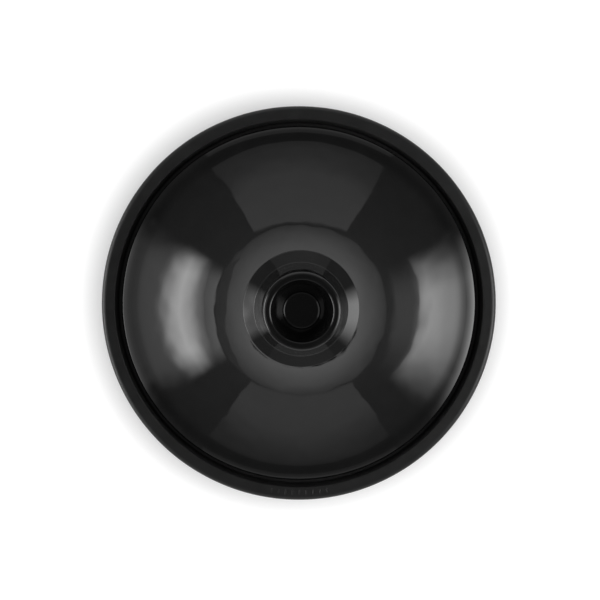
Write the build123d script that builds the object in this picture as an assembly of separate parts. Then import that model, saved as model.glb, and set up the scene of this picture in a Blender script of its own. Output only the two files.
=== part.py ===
from build123d import *

import os
from math import cos, radians, sin, tan

# A round cooking pot in two pieces: a shallow base pan of enamelled cast iron with a wide flared
# rim, and a tall domed lid of glazed stoneware that lifts off by a hollow-topped handle.
# Millimetres, +Z up. The origin is the centre of the base's foot ring, on the surface that the
# pot stands on. -Y is the front, where the rim carries its raised mark.
# Both pieces are turned shapes. Their outlines are drawn in (radius, height). A surface's tilt
# is its angle from level, in degrees: 0 on a flat top and 90 on an upright wall.

# ---- Base pan ----
rim_diameter = 310.0
rim_height = 52.0  # top of the rim above the surface that the pot stands on
rim_width = 10.7  # flat top of the rim, from its inner edge to the outside
rim_thickness = 6.0  # at the outer edge
rim_edge_round = 3.8  # upper outer edge
rim_lip_round = 1.5  # upper inner edge
seat_depth = 10.0  # the lid's seat, below the rim
seat_draft = 2.0  # how far the recess around the lid narrows from the rim to the seat
pan_wall = 5.0
floor_thickness = 5.5
foot_height = 2.5  # foot ring
foot_ring_width = 7.0
foot_inset = 16.0  # from the corner under the bowl's side in to the foot ring
bowl_run = 28.0  # how far the bowl's side comes in from the seat to the floor
bowl_round = 24.0  # between the bowl's floor and its side
seat_lip = 1.8  # seat showing inside the lid's foot
small_round = 1.5
under_rim_round = 5.0

# ---- Raised mark on the front of the rim: a row of plain bars ----
mark_bars = 9
mark_pitch = 2.1  # degrees from one bar to the next
mark_bar_width = 1.3
mark_rise = 0.4
mark_margin = 0.9  # flat left between a bar's ends and the rim's rounded edges

# ---- Lid ----
# The lid's outside is a chain of arcs. Each place below is a radius and the surface's tilt there.
lid_gap = 5.0  # between the lid's edge and the rim's inner edge
lid_wall = 6.5
lid_foot_width = 11.0  # the flat ring that stands on the seat
edge_height = 5.5  # upright part of the lid's edge
edge_round = 1.8
brim_width = 7.8  # the rounded brim, from the groove behind it to the lid's edge
brim_tilt = 32.0  # at the brim's outside, where the edge's rounding begins
groove_tilt = 9.0  # the shallow groove between the brim and the dome
groove_width = 7.0
dome_tilt = 26.0  # where the dome rises out of the groove
middle_radius = 92.0
middle_tilt = 36.0
upper_radius = 61.0
upper_tilt = 51.0
neck_radius = 45.0  # where the flank runs up into the collar
neck_tilt = 60.5
collar_radius = 43.2
collar_height = 8.3  # from the neck up to the shoulder's edge
collar_foot_round = 1.0
shoulder_tilt = 33.0  # the sloping shoulder around the handle's foot
shoulder_round = 0.6
handle_radius = 28.0  # at the lip
handle_height = 34.0  # from the shoulder to the lip
handle_tilt = 79.0
handle_foot_round = 0.8
lip_round = 3.0
lip_width = 5.0  # from the handle's outside to the cup's mouth
cup_depth = 18.0
cup_draft = 9.8  # how far the cup narrows from its mouth to its floor
cup_mouth_round = 2.0
cup_floor_round = 3.0
handle_web = 8.0  # stoneware between the cup's floor and the hollow inside the lid
throat_tilt = 54.0  # the hollow's side where it rises inside the collar
throat_foot = 4.0  # how far it follows the flank before it turns to that tilt
throat_round = 12.0
foot_round = 2.0  # where the inside turns down into the foot

# ---- Places that follow from the sizes above ----
rim_radius = rim_diameter / 2
rim_inner_radius = rim_radius - rim_width
seat_height = rim_height - seat_depth
floor_height = foot_height + floor_thickness
lid_radius = rim_inner_radius - lid_gap
lid_foot_radius = lid_radius - lid_foot_width
bowl_top_radius = lid_foot_radius - seat_lip
bowl_floor_radius = bowl_top_radius - bowl_run
foot_ring_radius = bowl_floor_radius + pan_wall - foot_inset
handle_foot_radius = handle_radius + handle_height / tan(radians(handle_tilt))


def turned(outline):
    """The solid that a closed outline sweeps around the pot's axis."""
    return revolve(make_face(outline.edges()), Axis.Z)


def upright(radius, height):
    return (radius, 0, height)


def rounded_outline(corners, ends):
    """Lines from the first end through the corners to the second, each corner rounded."""
    points = [upright(*ends[0])] + [upright(r, z) for r, z, _ in corners] + [upright(*ends[1])]
    return FilletPolyline(*points, radius=[size for _, _, size in corners])


def base_pan():
    """The cast base: foot ring, bowl, level seat for the lid, and flared rim with its mark."""
    underside = foot_height
    foot_in = foot_ring_radius - foot_ring_width
    side_foot = bowl_floor_radius + pan_wall
    side_top = bowl_top_radius + pan_wall
    ledge_height = seat_height - pan_wall
    recess_radius = rim_inner_radius - seat_draft
    corners = [
        (foot_in, underside, small_round),
        (foot_in + foot_height / 2, 0, small_round / 2),
        (foot_ring_radius, 0, small_round / 2),
        (foot_ring_radius + foot_height / 2, underside, small_round / 2),
        (side_foot, underside, bowl_round),
        (side_top, ledge_height - floor_thickness / 4, under_rim_round),
        (rim_inner_radius, ledge_height + floor_thickness / 4, under_rim_round),
        (rim_radius, rim_height - rim_thickness, small_round),
        (rim_radius, rim_height, rim_edge_round),
        (rim_inner_radius, rim_height, rim_lip_round),
        (recess_radius, seat_height, small_round),
        (bowl_top_radius, seat_height, small_round),
        (bowl_floor_radius, floor_height, bowl_round),
    ]
    skin = rounded_outline(corners, ((0, underside), (0, floor_height)))
    axis = Line(upright(0, floor_height), upright(0, underside))
    pan = turned(skin + axis)
    for bar in mark():
        pan += bar
    return pan


def mark():
    """The plain raised bars, centred on the front of the rim."""
    inner = rim_inner_radius + rim_lip_round + mark_margin
    outer = rim_radius - rim_edge_round - mark_margin
    middle = (inner + outer) / 2
    bar = Box(mark_bar_width, outer - inner, 2 * mark_rise)
    bar = fillet(bar.edges().filter_by(Axis.Z), mark_bar_width / 3)
    start = -90 - mark_pitch * (mark_bars - 1) / 2
    bars = []
    for count in range(mark_bars):
        turn = Rotation(0, 0, start + mark_pitch * count + 90)
        bars.append(turn * Pos(0, -middle, rim_height) * bar)
    return bars


def drop(inner, outer):
    """How far an arc falls from one radius out to another, given its tilt at both."""
    return (outer[0] - inner[0]) * tan(radians((inner[1] + outer[1]) / 2))


def lid_stations():
    """The lid's flank and brim, from the neck to the edge, as (radius, height, tilt)."""
    groove_radius = lid_radius - brim_width
    places = [
        (neck_radius, neck_tilt),
        (upper_radius, upper_tilt),
        (middle_radius, middle_tilt),
        (groove_radius - groove_width, dome_tilt),
        (groove_radius, groove_tilt),
        (lid_radius - edge_round * (1 - sin(radians(brim_tilt))), brim_tilt),
        (lid_radius, 90),
    ]
    height = seat_height + edge_height
    stations = [(lid_radius, height, 90)]
    for inner, outer in reversed(list(zip(places, places[1:]))):
        height += drop(inner, outer)
        stations.insert(0, (inner[0], height, inner[1]))
    return stations


def handle_heights(neck_height):
    """The heights of the collar's foot, its shoulder, the handle's foot and the lip."""
    collar_foot = neck_height + (neck_radius - collar_radius) * tan(radians(neck_tilt))
    shoulder = collar_foot + collar_height
    rise = (collar_radius - handle_foot_radius) * tan(radians(shoulder_tilt))
    handle_foot = shoulder + rise
    return collar_foot, shoulder, handle_foot, handle_foot + handle_height


def swept(stations):
    """One smooth outline through the stations, an arc from each to the next."""
    arcs = []
    for (r1, z1, tilt), (r2, z2, _) in zip(stations, stations[1:]):
        heading = (cos(radians(tilt)), 0, -sin(radians(tilt)))
        arcs.append(TangentArc(upright(r1, z1), upright(r2, z2), tangent=heading))
    return arcs


def inside(station, wall):
    """The point of the inner surface that lies one wall below a station of the outer one."""
    radius, height, tilt = station
    return (radius - wall * sin(radians(tilt)), height - wall * cos(radians(tilt)), tilt)


def lid_outside():
    """The lid with its handle, cup and foot, before it is hollowed."""
    stations = lid_stations()
    neck_height = stations[0][1]
    collar_foot, shoulder, handle_foot, top = handle_heights(neck_height)
    cup_mouth = handle_radius - lip_width
    cup_floor = top - cup_depth
    corners = [
        (cup_mouth - cup_draft, cup_floor, cup_floor_round),
        (cup_mouth, top, cup_mouth_round),
        (handle_radius, top, lip_round),
        (handle_foot_radius, handle_foot, handle_foot_round),
        (collar_radius, shoulder, shoulder_round),
        (collar_radius, collar_foot, collar_foot_round),
    ]
    handle = rounded_outline(corners, ((0, cup_floor), (neck_radius, neck_height)))
    edge = (lid_radius, seat_height + edge_height)
    foot = rounded_outline([(lid_radius, seat_height, small_round)], (edge, (0, seat_height)))
    axis = Line(upright(0, seat_height), upright(0, cup_floor))
    return turned(Curve() + [handle, *swept(stations), foot, axis])


def lid_hollow():
    """The space inside the lid, which follows its outside and rises into the handle."""
    stations = lid_stations()
    insides = [inside(station, lid_wall) for station in stations[:4]]
    radius, height, tilt = insides[0]
    ceiling = handle_heights(stations[0][1])[-1] - cup_depth - handle_web
    bend_radius = radius - throat_foot * cos(radians(tilt))
    bend_height = height + throat_foot * sin(radians(tilt))
    side = (ceiling - bend_height) / sin(radians(throat_tilt))
    bend = min(throat_round, side / 2 / tan(radians(throat_tilt / 2)))
    corners = [
        (bend_radius - side * cos(radians(throat_tilt)), ceiling, bend),
        (bend_radius, bend_height, bend),
    ]
    throat = rounded_outline(corners, ((0, ceiling), (radius, height)))
    radius, height, tilt = insides[-1]
    foot_top = height - (lid_foot_radius - radius) * tan(radians(tilt))
    below = seat_height - small_round
    foot = rounded_outline(
        [(lid_foot_radius, foot_top, foot_round)],
        ((radius, height), (lid_foot_radius, below)),
    )
    closing = Polyline(upright(lid_foot_radius, below), upright(0, below), upright(0, ceiling))
    return turned(Curve() + [throat, *swept(insides), foot, closing])


def domed_lid():
    """The glazed lid: brim, groove, dome, collar and hollow-topped handle in one piece."""
    return lid_outside() - lid_hollow()


def save(shape, node):
    export_step(shape, f"parts/{node}.step")


os.makedirs("parts", exist_ok=True)
save(base_pan(), "base_pan")
save(domed_lid(), "domed_lid")
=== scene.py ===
"""The looks of a round two-piece pot: a shallow cast-iron pan and a tall glazed stoneware lid.

Metres, +Z up, -Y to the front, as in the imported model. Both pieces are turned shapes, so each is
made from one outline in (radius, height), swept around the Z axis. A tilt is a surface's angle
from level: 0 on a flat top and a quarter turn on an upright wall.
"""

from math import cos, hypot, pi, radians, sin, tan

import bpy
import numpy as np
from mathutils import Matrix, Vector, noise


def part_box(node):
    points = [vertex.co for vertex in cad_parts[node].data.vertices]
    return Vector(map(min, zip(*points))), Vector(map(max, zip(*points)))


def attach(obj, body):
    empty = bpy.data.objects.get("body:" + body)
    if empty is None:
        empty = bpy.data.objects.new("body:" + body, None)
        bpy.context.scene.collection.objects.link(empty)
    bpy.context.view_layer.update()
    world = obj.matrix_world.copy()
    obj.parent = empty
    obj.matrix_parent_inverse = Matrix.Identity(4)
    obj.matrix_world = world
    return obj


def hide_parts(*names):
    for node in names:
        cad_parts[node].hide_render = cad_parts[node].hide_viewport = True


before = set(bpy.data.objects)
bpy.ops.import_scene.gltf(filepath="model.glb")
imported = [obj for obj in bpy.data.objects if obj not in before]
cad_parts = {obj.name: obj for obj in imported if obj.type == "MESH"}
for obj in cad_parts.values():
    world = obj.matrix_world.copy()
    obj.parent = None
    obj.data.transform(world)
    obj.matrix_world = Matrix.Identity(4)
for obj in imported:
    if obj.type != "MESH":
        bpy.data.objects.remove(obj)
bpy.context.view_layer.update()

mm = 0.001

# ---- Sizes ----
_, pan_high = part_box("base_pan")
lid_low, lid_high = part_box("domed_lid")

mark_rise = 0.4 * mm
rim_radius = pan_high.x
rim_height = pan_high.z - mark_rise
rim_width = 10.7 * mm
rim_thickness = 6 * mm
rim_edge_round = 3.8 * mm
rim_lip_round = 1.5 * mm
seat_height = lid_low.z
seat_draft = 2 * mm
pan_wall = 5 * mm
floor_thickness = 5.5 * mm
foot_height = 2.5 * mm
foot_ring_width = 7 * mm
foot_inset = 16 * mm
bowl_run = 28 * mm
bowl_round = 24 * mm
seat_lip = 1.8 * mm
small_round = 1.5 * mm
under_rim_round = 5 * mm

mark_bars = 9
mark_pitch = radians(2.1)
mark_bar_width = 1.3 * mm
mark_margin = 0.9 * mm
mark_corner_steps = 4  # facets around each corner of a bar

lid_radius = lid_high.x
lid_wall = 6.5 * mm
lid_foot_width = 11 * mm
edge_height = 5.5 * mm
edge_round = 1.8 * mm
brim_width = 7.8 * mm
brim_tilt = radians(32)
groove_tilt = radians(9)
groove_width = 7 * mm
dome_tilt = radians(26)
middle_radius = 92 * mm
middle_tilt = radians(36)
upper_radius = 61 * mm
upper_tilt = radians(51)
neck_radius = 45 * mm
neck_tilt = radians(60.5)
collar_radius = 43.2 * mm
collar_height = 8.3 * mm
collar_foot_round = 1 * mm
shoulder_tilt = radians(33)
shoulder_round = 0.6 * mm
handle_radius = 28 * mm
handle_height = 34 * mm
handle_tilt = radians(79)
handle_foot_round = 0.8 * mm
lip_round = 3 * mm
lip_width = 5 * mm
cup_depth = 18 * mm
cup_draft = 9.8 * mm
cup_mouth_round = 2 * mm
cup_floor_round = 3 * mm
handle_web = 8 * mm
throat_tilt = radians(54)
throat_round = 12 * mm
throat_foot = 4 * mm
foot_round = 2 * mm

rim_inner_radius = rim_radius - rim_width
lid_foot_radius = lid_radius - lid_foot_width
bowl_top_radius = lid_foot_radius - seat_lip
bowl_floor_radius = bowl_top_radius - bowl_run
foot_ring_radius = bowl_floor_radius + pan_wall - foot_inset
floor_height = foot_height + floor_thickness

turns = 288  # facets around each piece
arc_step = radians(6)  # the most that an outline turns from one point to the next
line_step = 2.6 * mm  # the most that an outline runs straight from one point to the next
least_turn = 1e-6  # radians: an arc that turns less than this is straight
least_run = 1e-7  # metres: outline points nearer than this are one point

# The glaze is wiped off the ring that the lid stands on: faces this low that look downwards.
bare_height = 0.6 * mm
bare_facing = -0.5

# The fired coats aren't quite even: how far they swell, and over what distance.
glaze_swell, glaze_swell_length = 0.11 * mm, 22 * mm
enamel_swell, enamel_swell_length = 0.04 * mm, 30 * mm
finer_share, finer_scale = 0.5, 2.3  # a second, finer swell on top of the first

# ---- Studio sizes ----
# The camera looks down from above, a little to the back and the left of the pot's axis.
focal_length, sensor_width = 114.8, 36  # millimetres
camera_place = (-0.0241, 0.0640, 1.552)
camera_aim = (0.0006, 0.0031, 0.052)

floor_reach = 40.0
floor_sides = 96
floor_tone = 0.5
# The floor glows less beside the rim, as a painted contact shadow, and reaches its open glow this far
# out from it.
painted_shadow_width = 22 * mm
painted_shadow_glow, open_glow = 0.38, 0.85
# A dimmer floor, which only reflections see, with a darker strip on the left.
mirrored_reach = 0.62
mirrored_near, mirrored_near_glow = 0.3, 0.68
mirrored_far, mirrored_far_glow = 0.6, 0.42
shade_low, shade_high = (-0.62, -0.5), (-0.38, 0.3)
shade_glow = 0.32

# The room is even up to this sine of the angle from level, and then darkens to overhead.
room_bend = 0.4
room_glow, overhead_glow = 0.27, 0.1

# How bright each card is, as (height, brightness) from its foot to its top.
left_softbox_stops = [
    (0.05, 1.2),
    (0.25, 2.2),
    (0.5, 5.4),
    (0.75, 7.4),
    (0.95, 5.6),
    (1.2, 1.7),
    (1.3, 1.15),
    (2.8, 0.7),
    (6.5, 0.5),
]
left_reflector_stops = [(0.016, 1.4), (0.08, 1.1)]
right_softbox_stops = [
    (0.0, 0.28),
    (0.04, 0.3),
    (0.08, 0.7),
    (0.17, 0.8),
    (0.20, 1.3),
    (0.21, 4.0),
    (0.24, 5.9),
    (0.30, 4.9),
    (0.36, 4.2),
    (0.57, 2.7),
    (0.92, 1.4),
    (1.2, 1.0),
]
back_reflector_stops = [
    (0.0, 0.15),
    (0.02, 0.3),
    (0.03, 0.62),
    (0.2, 0.69),
    (0.28, 0.66),
    (0.35, 0.46),
    (0.42, 0.36),
    (0.63, 0.31),
]
front_reflector_stops = [
    (0.0, 0.4),
    (0.02, 0.52),
    (0.15, 0.63),
    (0.22, 0.61),
    (0.27, 0.5),
    (0.34, 0.32),
    (0.54, 0.22),
]
# Each card: its name, its start and end in plan, how far it fades in at both ends, its stops.
cards = [
    ("left_softbox", (-2.5, -2.05), (-2.5, 1.3), (0.9, 0.7), left_softbox_stops),
    ("left_reflector", (-0.6, -0.5), (-0.6, 0.32), (0.2, 0.2), left_reflector_stops),
    ("right_softbox", (0.6, -0.56), (0.6, 0.26), (0.46, 0.25), right_softbox_stops),
    ("back_reflector", (-0.38, 0.6), (0.41, 0.6), (0.01, 0.01), back_reflector_stops),
    ("front_reflector", (-0.38, -0.6), (0.41, -0.6), (0.01, 0.01), front_reflector_stops),
]


# ---- Outlines ----
def arc(start, tilt, end):
    """Points after start, up to end, on the arc that leaves start outwards at that downward tilt."""
    run, fall = end[0] - start[0], start[1] - end[1]
    chord = np.arctan2(fall, run)
    turn = 2 * (chord - tilt)
    steps = max(int(np.ceil(abs(turn) / arc_step)), int(np.ceil(hypot(run, fall) / line_step)), 1)
    length = hypot(run, fall)
    if abs(turn) > least_turn:
        length *= turn / 2 / sin(turn / 2)
    points, here = [], np.array(start, float)
    for count in range(steps):
        middle = tilt + turn * (count + 0.5) / steps
        span = length / steps
        if abs(turn) > least_turn:
            span *= sin(turn / steps / 2) / (turn / steps / 2)
        here = here + span * np.array([cos(middle), -sin(middle)])
        points.append(here)
    return points


def rounded(corners, ends):
    """Points from the first end through the corners to the second, each corner rounded."""
    path = [np.array(ends[0], float)]
    places = [np.array(corner[:2], float) for corner in corners] + [np.array(ends[1], float)]
    for (_, _, size), corner, after in zip(corners, places, places[1:]):
        before = path[-1]
        way_in = (corner - before) / np.linalg.norm(corner - before)
        way_out = (after - corner) / np.linalg.norm(after - corner)
        bend = np.arctan2(way_in[0] * way_out[1] - way_in[1] * way_out[0], way_in @ way_out)
        setback = size * tan(abs(bend) / 2)
        side = np.sign(bend) * np.array([-way_in[1], way_in[0]])
        centre = corner - way_in * setback + side * size
        steps = max(int(np.ceil(abs(bend) / arc_step)), 2)
        for count in range(steps + 1):
            angle = bend * count / steps
            spoke = -side * size
            turned_spoke = np.array(
                [
                    spoke[0] * cos(angle) - spoke[1] * sin(angle),
                    spoke[0] * sin(angle) + spoke[1] * cos(angle),
                ]
            )
            path.append(centre + turned_spoke)
    return path + [places[-1]]


def spread(path):
    """The same path with its long straight runs divided, and a short span left at each run's ends."""
    points = [path[0]]
    for start, end in zip(path, path[1:]):
        run = np.linalg.norm(end - start)
        if run > line_step:
            shares = [0, small_round / 4 / run]
            count = int(np.ceil(run / line_step))
            shares += [step / count for step in range(1, count)] + [1 - small_round / 4 / run]
            points += [start + (end - start) * share for share in shares[1:]]
        if run > least_run:
            points.append(end)
    return points


def pan_outline():
    """The pan's skin from the middle of its underside, around the rim, to the middle of its floor."""
    foot_in = foot_ring_radius - foot_ring_width
    ledge_height = seat_height - pan_wall
    corners = [
        (foot_in, foot_height, small_round),
        (foot_in + foot_height / 2, 0, small_round / 2),
        (foot_ring_radius, 0, small_round / 2),
        (foot_ring_radius + foot_height / 2, foot_height, small_round / 2),
        (bowl_floor_radius + pan_wall, foot_height, bowl_round),
        (bowl_top_radius + pan_wall, ledge_height - floor_thickness / 4, under_rim_round),
        (rim_inner_radius, ledge_height + floor_thickness / 4, under_rim_round),
        (rim_radius, rim_height - rim_thickness, small_round),
        (rim_radius, rim_height, rim_edge_round),
        (rim_inner_radius, rim_height, rim_lip_round),
        (rim_inner_radius - seat_draft, seat_height, small_round),
        (bowl_top_radius, seat_height, small_round),
        (bowl_floor_radius, floor_height, bowl_round),
    ]
    return spread(rounded(corners, ((0, foot_height), (0, floor_height))))


def lid_stations():
    """The lid's outside from the neck to its edge, as (radius, height, tilt)."""
    groove_radius = lid_radius - brim_width
    places = [
        (neck_radius, neck_tilt),
        (upper_radius, upper_tilt),
        (middle_radius, middle_tilt),
        (groove_radius - groove_width, dome_tilt),
        (groove_radius, groove_tilt),
        (lid_radius - edge_round * (1 - sin(brim_tilt)), brim_tilt),
        (lid_radius, pi / 2),
    ]
    height = seat_height + edge_height
    stations = [(lid_radius, height, pi / 2)]
    for inner, outer in reversed(list(zip(places, places[1:]))):
        height += (outer[0] - inner[0]) * tan((inner[1] + outer[1]) / 2)
        stations.insert(0, (inner[0], height, inner[1]))
    return stations


def swept(stations):
    """Points after the first station, on an arc from each station to the next."""
    points = []
    for (r1, z1, tilt), (r2, z2, _) in zip(stations, stations[1:]):
        points += arc((r1, z1), tilt, (r2, z2))
    return points


def lid_outline():
    """The lid's skin from the middle of the cup, over the outside and the foot, to its ceiling."""
    stations = lid_stations()
    neck_height = stations[0][1]
    collar_foot = neck_height + (neck_radius - collar_radius) * tan(neck_tilt)
    shoulder = collar_foot + collar_height
    handle_foot_radius = handle_radius + handle_height / tan(handle_tilt)
    handle_foot = shoulder + (collar_radius - handle_foot_radius) * tan(shoulder_tilt)
    top = handle_foot + handle_height
    cup_mouth = handle_radius - lip_width
    cup_floor = top - cup_depth
    handle = rounded(
        [
            (cup_mouth - cup_draft, cup_floor, cup_floor_round),
            (cup_mouth, top, cup_mouth_round),
            (handle_radius, top, lip_round),
            (handle_foot_radius, handle_foot, handle_foot_round),
            (collar_radius, shoulder, shoulder_round),
            (collar_radius, collar_foot, collar_foot_round),
        ],
        ((0, cup_floor), (neck_radius, neck_height)),
    )
    outside = spread(handle) + swept(stations)

    insides = [
        (r - lid_wall * sin(tilt), z - lid_wall * cos(tilt), tilt) for r, z, tilt in stations[:4]
    ]
    radius, height, tilt = insides[-1]
    foot_top = height - (lid_foot_radius - radius) * tan(tilt)
    foot = rounded(
        [
            (lid_radius, seat_height, small_round),
            (lid_foot_radius, seat_height, small_round / 3),
            (lid_foot_radius, foot_top, foot_round),
        ],
        ((lid_radius, seat_height + edge_height), (radius, height)),
    )
    radius, height, tilt = insides[0]
    ceiling = cup_floor - handle_web
    bend_radius = radius - throat_foot * cos(tilt)
    bend_height = height + throat_foot * sin(tilt)
    ceiling_radius = bend_radius - (ceiling - bend_height) / tan(throat_tilt)
    throat = rounded(
        [
            (ceiling_radius, ceiling, throat_round),
            (bend_radius, bend_height, throat_round),
        ],
        ((0, ceiling), (radius, height)),
    )
    climb = [np.array(insides[0][:2])] + swept(insides)
    return outside + spread(foot)[1:] + climb[-2::-1] + spread(throat)[-2::-1]


# ---- Meshes ----
def new_object(name, points, faces):
    """A mesh object in the scene, from its points and faces."""
    mesh = bpy.data.meshes.new(name)
    mesh.from_pydata(points, [], faces)
    piece = bpy.data.objects.new(name, mesh)
    bpy.context.scene.collection.objects.link(piece)
    return piece


def turned(name, outline):
    """A closed mesh of the outline swept around the Z axis. The outline starts and ends on it."""
    rings = np.array(outline[1:-1])
    angles = np.arange(turns) * 2 * pi / turns
    points = np.empty((len(rings), turns, 3))
    points[:, :, 0] = rings[:, :1] * np.cos(angles)
    points[:, :, 1] = rings[:, :1] * np.sin(angles)
    points[:, :, 2] = rings[:, 1:]
    poles = [(0, 0, outline[0][1]), (0, 0, outline[-1][1])]
    faces = []
    for ring in range(len(rings) - 1):
        for turn in range(turns):
            after = (turn + 1) % turns
            a, b = ring * turns + turn, ring * turns + after
            faces.append((a, b, b + turns, a + turns))
    first_pole = len(rings) * turns
    last_ring = (len(rings) - 1) * turns
    for turn in range(turns):
        after = (turn + 1) % turns
        faces.append((first_pole, after, turn))
        faces.append((first_pole + 1, last_ring + turn, last_ring + after))
    piece = new_object(name, [*points.reshape(-1, 3).tolist(), *poles], faces)
    piece.data.polygons.foreach_set("use_smooth", [True] * len(faces))
    return piece


def ripple(piece, height, wavelength):
    """Moves a piece's skin in and out by a slow, shallow waviness, as a dipped or fired coat has."""
    mesh = piece.data
    normals = [vertex.normal.copy() for vertex in mesh.vertices]
    for vertex, normal in zip(mesh.vertices, normals):
        place = vertex.co / wavelength
        swell = noise.noise(place) + finer_share * noise.noise(place * finer_scale)
        vertex.co += normal * swell * height
    mesh.update()


def lid_piece():
    piece = turned("glazed_lid", lid_outline())
    for face in piece.data.polygons:
        if face.center.z < seat_height + bare_height and face.normal.z < bare_facing:
            face.material_index = 1
    ripple(piece, glaze_swell, glaze_swell_length)
    piece.data.materials.append(gloss_black_glaze())
    piece.data.materials.append(bare_buff_stoneware())
    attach(piece, "lid")
    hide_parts("domed_lid")


def pan_piece(enamel):
    piece = turned("enamelled_pan", pan_outline())
    ripple(piece, enamel_swell, enamel_swell_length)
    piece.data.materials.append(enamel)
    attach(piece, "base")
    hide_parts("base_pan")


def bar_ring(half_length, half_width, inset):
    """A rectangle with rounded corners, as (along, across), drawn in by the inset."""
    size = mark_bar_width / 3
    points = []
    for side_x, side_y, start in ((1, 1, 0), (-1, 1, 1), (-1, -1, 2), (1, -1, 3)):
        for step in range(mark_corner_steps + 1):
            angle = (start + step / mark_corner_steps) * pi / 2
            length = side_x * (half_length - size) + (size - inset) * cos(angle)
            width = side_y * (half_width - size) + (size - inset) * sin(angle)
            points.append((length, width))
    return points


def rim_mark(enamel):
    """The row of plain raised bars on the front of the rim, each with softened ends and edges."""
    inner = rim_inner_radius + rim_lip_round + mark_margin
    outer = rim_radius - rim_edge_round - mark_margin
    # Rings of each bar from its root inside the rim to its top: how far in, and how high.
    rings = [
        (0, -mark_rise),
        (0, mark_rise / 2),
        (mark_rise / 3, mark_rise * 0.9),
        (mark_rise * 0.8, mark_rise),
    ]
    count = 4 * (mark_corner_steps + 1)
    points, faces = [], []
    for bar in range(mark_bars):
        heading = mark_pitch * (bar - (mark_bars - 1) / 2) - pi / 2
        along = Vector((cos(heading), sin(heading), 0))
        across = Vector((-sin(heading), cos(heading), 0))
        first = len(points)
        for inset, height in rings:
            for length, width in bar_ring((outer - inner) / 2, mark_bar_width / 2, inset):
                place = along * ((inner + outer) / 2 + length) + across * width
                points.append((place.x, place.y, rim_height + height))
        for ring in range(len(rings) - 1):
            start = first + ring * count
            for step in range(count):
                low, after = start + step, start + (step + 1) % count
                faces.append((low, after, after + count, low + count))
        top = first + (len(rings) - 1) * count
        faces.append(tuple(range(top, top + count)))
        faces.append(tuple(range(first + count - 1, first - 1, -1)))
    piece = new_object("rim_mark", points, faces)
    piece.data.polygons.foreach_set("use_smooth", [len(face) == 4 for face in faces])
    piece.data.materials.append(enamel)
    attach(piece, "base")


# ---- Materials ----
patch_span = {"From Min": 0.3, "From Max": 0.7}  # the noise that patches use; the rest is cut off


def linear(hex_colour):
    """An sRGB hex colour as a linear RGBA value."""
    shares = [int(hex_colour[i : i + 2], 16) / 255 for i in (1, 3, 5)]
    return (*[s / 12.92 if s <= 0.04045 else ((s + 0.055) / 1.055) ** 2.4 for s in shares], 1)


def add(tree, kind, settings=None, **links):
    """Adds a node. Settings name its properties or its inputs; links name the inputs to be fed."""
    node = tree.nodes.new(kind)
    for name, value in (settings or {}).items():
        if hasattr(node, name):
            setattr(node, name, value)
        else:
            node.inputs[name].default_value = value
    for name, source in links.items():
        tree.links.new(source, node.inputs[name.replace("_", " ")])
    return node


def blank_material(name):
    material = bpy.data.materials.new(name)
    material.use_nodes = True
    material.node_tree.nodes.clear()
    return material, material.node_tree


def mottle(tree, size, detail, low, high):
    """Soft patches of about that size, as a value that wanders between low and high."""
    place = add(tree, "ShaderNodeTexCoord")
    patches = add(
        tree,
        "ShaderNodeTexNoise",
        {"Scale": 1 / size, "Detail": detail, "Roughness": 0.5},
        Vector=place.outputs["Object"],
    )
    spread_out = add(
        tree,
        "ShaderNodeMapRange",
        {**patch_span, "To Min": low, "To Max": high},
        Value=patches.outputs["Fac"],
    )
    return spread_out.outputs[0]


def between(tree, share, dark, pale):
    """A colour that goes from dark to pale with the share."""
    ramp = add(tree, "ShaderNodeValToRGB", Fac=share)
    ramp.color_ramp.elements[0].color = linear(dark)
    ramp.color_ramp.elements[1].color = linear(pale)
    return ramp.outputs[0]


def gloss_black_glaze():
    """Gloss black glaze over stoneware.

    A coat of glass: a mirror that hardly scatters, over a body that is almost black. Its tint
    pools a little darker and paler over patches of 15 mm, its gloss wanders over 6 mm, and its
    skin rolls by under a micron over 2 mm, which breaks the edges of what it mirrors.
    """
    material, tree = blank_material("gloss_black_glazed_stoneware")
    tint = between(tree, mottle(tree, 15 * mm, 3, 0, 1), "#0c0c0c", "#121212")
    gloss = mottle(tree, 6 * mm, 2, 0.035, 0.075)
    roll = add(
        tree,
        "ShaderNodeBump",
        {"Strength": 1.0, "Distance": 0.0008 * mm},
        Height=mottle(tree, 2 * mm, 1, 0, 1),
    )
    glaze = add(
        tree,
        "ShaderNodeBsdfPrincipled",
        {"IOR": 1.5},
        Base_Color=tint,
        Roughness=gloss,
        Normal=roll.outputs[0],
    )
    add(tree, "ShaderNodeOutputMaterial", Surface=glaze.outputs[0])
    return material


def bare_buff_stoneware():
    """Unglazed buff stoneware, on the ring that the lid stands on.

    Dry fired clay: matt, warm and sandy, speckled with darker grains of about 1 mm.
    """
    material, tree = blank_material("bare_buff_stoneware")
    tint = between(tree, mottle(tree, 1 * mm, 4, 0, 1), "#8a7860", "#b9a88c")
    grain = add(
        tree,
        "ShaderNodeBump",
        {"Strength": 1.0, "Distance": 0.05 * mm},
        Height=mottle(tree, 0.4 * mm, 3, 0, 1),
    )
    clay = add(
        tree,
        "ShaderNodeBsdfPrincipled",
        {"Roughness": 0.9, "IOR": 1.45},
        Base_Color=tint,
        Normal=grain.outputs[0],
    )
    add(tree, "ShaderNodeOutputMaterial", Surface=clay.outputs[0])
    return material


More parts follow.
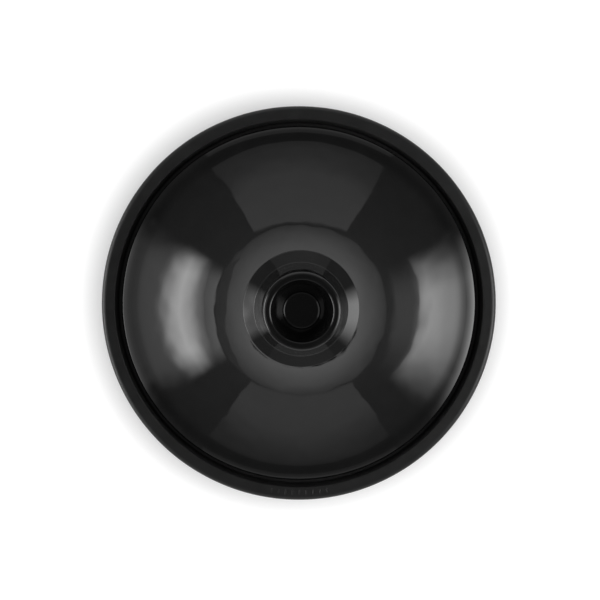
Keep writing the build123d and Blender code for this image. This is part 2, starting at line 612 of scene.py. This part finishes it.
def satin_black_enamel():
    """Satin black enamel fired on cast iron.

    Glass filled with matting grains: a wide, dull sheen instead of a mirror. The sheen wanders
    over patches of 5 mm, and the sand-cast skin shows through as a peel of about 0.9 mm.
    """
    material, tree = blank_material("satin_black_enamel_on_cast_iron")
    tint = between(tree, mottle(tree, 20 * mm, 3, 0, 1), "#1b1b1b", "#232323")
    sheen = mottle(tree, 5 * mm, 3, 0.36, 0.44)
    peel = add(
        tree,
        "ShaderNodeBump",
        {"Strength": 1.0, "Distance": 0.006 * mm},
        Height=mottle(tree, 0.9 * mm, 2, 0, 1),
    )
    enamel = add(
        tree,
        "ShaderNodeBsdfPrincipled",
        {"IOR": 1.5},
        Base_Color=tint,
        Roughness=sheen,
        Normal=peel.outputs[0],
    )
    add(tree, "ShaderNodeOutputMaterial", Surface=enamel.outputs[0])
    return material


# ---- Studio ----
def flat_sheet(name, corners):
    sheet = new_object(name, corners, [tuple(range(len(corners)))])
    return sheet


def mix(tree, share, first, second):
    """A shader that goes from the first to the second with the share."""
    both = add(tree, "ShaderNodeMixShader", Fac=share)
    tree.links.new(first.outputs[0], both.inputs[1])
    tree.links.new(second.outputs[0], both.inputs[2])
    return both


def fade_in(tree, place, edge, full):
    """A share that rises softly from 0 at the edge to 1 further in."""
    rise = {"From Min": edge, "From Max": full, "interpolation_type": "SMOOTHSTEP"}
    return add(tree, "ShaderNodeMapRange", rise, Value=place).outputs[0]


def light_card(name, start, end, fades, stops):
    """An upright glowing card from start to end in plan, which the camera doesn't see directly.

    Stops are (height, brightness) up the card. Fades are how far in from its two ends, in order
    of x or y, it comes up to full brightness.
    """
    foot, top = stops[0][0], stops[-1][0]
    card = flat_sheet(name, [(*start, foot), (*end, foot), (*end, top), (*start, top)])
    card.visible_camera = False
    card.visible_shadow = False
    material, tree = blank_material(name)
    place = add(tree, "ShaderNodeNewGeometry")
    axes = add(tree, "ShaderNodeSeparateXYZ", Vector=place.outputs["Position"])
    climb = {"From Min": foot, "From Max": top}
    height = add(tree, "ShaderNodeMapRange", climb, Value=axes.outputs["Z"])
    peak = max(brightness for _, brightness in stops)
    ramp = add(tree, "ShaderNodeValToRGB", Fac=height.outputs[0])
    while len(ramp.color_ramp.elements) < len(stops):
        ramp.color_ramp.elements.new(1)
    for element, (level, _) in zip(ramp.color_ramp.elements, stops):
        element.position = (level - foot) / (top - foot)
    for element, (_, brightness) in zip(ramp.color_ramp.elements, stops):
        element.color = (*[brightness / peak] * 3, 1)
    glow = add(tree, "ShaderNodeEmission", {"Strength": peak}, Color=ramp.outputs[0])
    along = 1 if start[0] == end[0] else 0
    low, high = sorted((start[along], end[along]))
    share = add(tree, "ShaderNodeMath", {"operation": "MULTIPLY"})
    spot = axes.outputs[along]
    tree.links.new(fade_in(tree, spot, low, low + fades[0]), share.inputs[0])
    tree.links.new(fade_in(tree, spot, high, high - fades[1]), share.inputs[1])
    clear = add(tree, "ShaderNodeBsdfTransparent")
    both = mix(tree, share.outputs[0], clear, glow)
    add(tree, "ShaderNodeOutputMaterial", Surface=both.outputs[0])
    card.data.materials.append(material)


def round_sheet(name, reach):
    """A round sheet on the ground, and the empty node tree of its material."""
    angles = [2 * pi * side / floor_sides for side in range(floor_sides)]
    sheet = flat_sheet(name, [(reach * cos(angle), reach * sin(angle), 0) for angle in angles])
    material, tree = blank_material(name)
    sheet.data.materials.append(material)
    return sheet, tree


def distance_tone(tree, near, near_tone, far, far_tone):
    """A tone that changes from one distance from the pot's axis to another."""
    place = add(tree, "ShaderNodeNewGeometry")
    away = add(tree, "ShaderNodeVectorMath", {"operation": "LENGTH"})
    tree.links.new(place.outputs["Position"], away.inputs[0])
    tones = {"From Min": near, "From Max": far, "To Min": near_tone, "To Max": far_tone}
    return add(tree, "ShaderNodeMapRange", tones, Value=away.outputs["Value"]).outputs[0]


def only_mirrored(sheet):
    """Leaves a sheet to be seen in reflections alone."""
    sheet.visible_camera = False
    sheet.visible_diffuse = False
    sheet.visible_shadow = False


def white_floor():
    """White paper under the pot, which reflections don't see, with a painted contact shadow where it
    glows less beside the rim.
    """
    sheet, tree = round_sheet("white_paper_floor", floor_reach)
    sheet.visible_glossy = False
    paper = add(
        tree,
        "ShaderNodeBsdfPrincipled",
        {
            "Base Color": (floor_tone, floor_tone, floor_tone, 1),
            "Roughness": 0.9,
            "Specular IOR Level": 0.0,
            "Emission Color": (1, 1, 1, 1),
        },
    )
    # Painted contact shadow: the floor's glow is lowest at the rim and rises to its open glow further
    # out.
    painted_shadow_end = rim_radius + painted_shadow_width
    tone = distance_tone(tree, rim_radius, painted_shadow_glow, painted_shadow_end, open_glow)
    tree.links.new(tone, paper.inputs["Emission Strength"])
    add(tree, "ShaderNodeOutputMaterial", Surface=paper.outputs[0])


def mirrored_floor():
    """The dimmer floor that the glaze mirrors, with a darker strip towards the left."""
    sheet, tree = round_sheet("mirrored_paper_floor", mirrored_reach)
    only_mirrored(sheet)
    tone = distance_tone(tree, mirrored_near, mirrored_near_glow, mirrored_far, mirrored_far_glow)
    glow = add(tree, "ShaderNodeEmission", Strength=tone)
    add(tree, "ShaderNodeOutputMaterial", Surface=glow.outputs[0])

    (left, front), (right, back) = shade_low, shade_high
    plan = [(left, front), (right, front), (right, back), (left, back)]
    shade = flat_sheet("left_floor_shade", [(*corner, mm) for corner in plan])
    only_mirrored(shade)
    material, tree = blank_material("left_floor_shade")
    glow = add(tree, "ShaderNodeEmission", {"Strength": shade_glow})
    add(tree, "ShaderNodeOutputMaterial", Surface=glow.outputs[0])
    shade.data.materials.append(material)


def surroundings():
    """A dim room that is darker overhead, and a white backdrop for the camera alone."""
    world = bpy.data.worlds.new("studio")
    bpy.context.scene.world = world
    world.use_nodes = True
    tree = world.node_tree
    tree.nodes.clear()
    way = add(tree, "ShaderNodeTexCoord")
    axes = add(tree, "ShaderNodeSeparateXYZ", Vector=way.outputs["Generated"])
    tones = {
        "From Min": room_bend,
        "From Max": 1.0,
        "To Min": room_glow,
        "To Max": overhead_glow,
    }
    height = add(tree, "ShaderNodeMapRange", tones, Value=axes.outputs["Z"])
    dim = add(tree, "ShaderNodeBackground", Strength=height.outputs[0])
    white = add(tree, "ShaderNodeBackground", {"Color": (1, 1, 1, 1), "Strength": 1.0})
    rays = add(tree, "ShaderNodeLightPath")
    both = mix(tree, rays.outputs["Is Camera Ray"], dim, white)
    add(tree, "ShaderNodeOutputWorld", Surface=both.outputs[0])


def studio():
    white_floor()
    mirrored_floor()
    surroundings()
    for card in cards:
        light_card(*card)


def camera():
    made = bpy.data.cameras.new("camera")
    made.lens = focal_length
    made.sensor_width = sensor_width
    eye = bpy.data.objects.new("camera", made)
    bpy.context.scene.collection.objects.link(eye)
    eye.location = camera_place
    back = (eye.location - Vector(camera_aim)).normalized()
    right = Vector((0, 1, 0)).cross(back).normalized()
    axes = Matrix((right, back.cross(right), back)).transposed()
    eye.rotation_mode = "QUATERNION"
    eye.rotation_quaternion = axes.to_quaternion()
    bpy.context.scene.camera = eye


bpy.context.scene.view_settings.view_transform = "Standard"
enamel = satin_black_enamel()
pan_piece(enamel)
rim_mark(enamel)
lid_piece()
studio()
camera()
